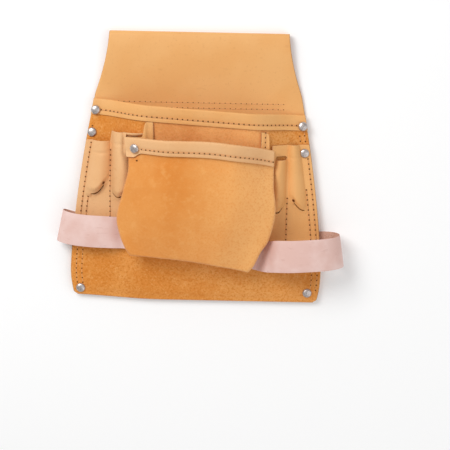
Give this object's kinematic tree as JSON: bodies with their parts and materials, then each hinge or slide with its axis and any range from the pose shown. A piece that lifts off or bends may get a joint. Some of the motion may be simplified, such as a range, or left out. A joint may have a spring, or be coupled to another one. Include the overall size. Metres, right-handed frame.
{
  "type": "carpenter nail apron",
  "caption": "Leather nail and tool bag for a belt: a main pouch, a pleated nail pouch, tool sleeves and side loops, riveted and stitched to one back.",
  "frame": {"origin": "middle of the belt tunnel, on the back face that lies on the table", "axes": "+X across the bag, +Y up towards the belt, +Z out of its front"},
  "size_m": [0.2859, 0.2698, 0.0592],
  "materials": {
    "smooth_leather": "smooth tan full-grain",
    "suede_leather": "orange tan split suede",
    "strap_leather": "natural pinkish veg-tan",
    "rivet_nickel": "nickel plated, slightly worn"
  },
  "bodies": {
    "root": {"back_panel": "smooth_leather", "main_hem": "smooth_leather", "left_sleeves": "smooth_leather", "right_sleeves": "smooth_leather", "front_hem": "smooth_leather", "main_pouch": "suede_leather", "front_pouch": "suede_leather", "left_loop": "strap_leather", "right_loop": "strap_leather", "rivet_mouth_left": "rivet_nickel", "rivet_mouth_right": "rivet_nickel", "rivet_sleeve_left": "rivet_nickel", "rivet_sleeve_right": "rivet_nickel", "rivet_front_left": "rivet_nickel", "rivet_bottom_left": "rivet_nickel", "rivet_bottom_right": "rivet_nickel", "rivet_loop_left_front": "rivet_nickel", "rivet_loop_right_front": "rivet_nickel", "rivet_loop_left_back": "rivet_nickel", "rivet_loop_right_back": "rivet_nickel"}
  },
  "joints": []
}
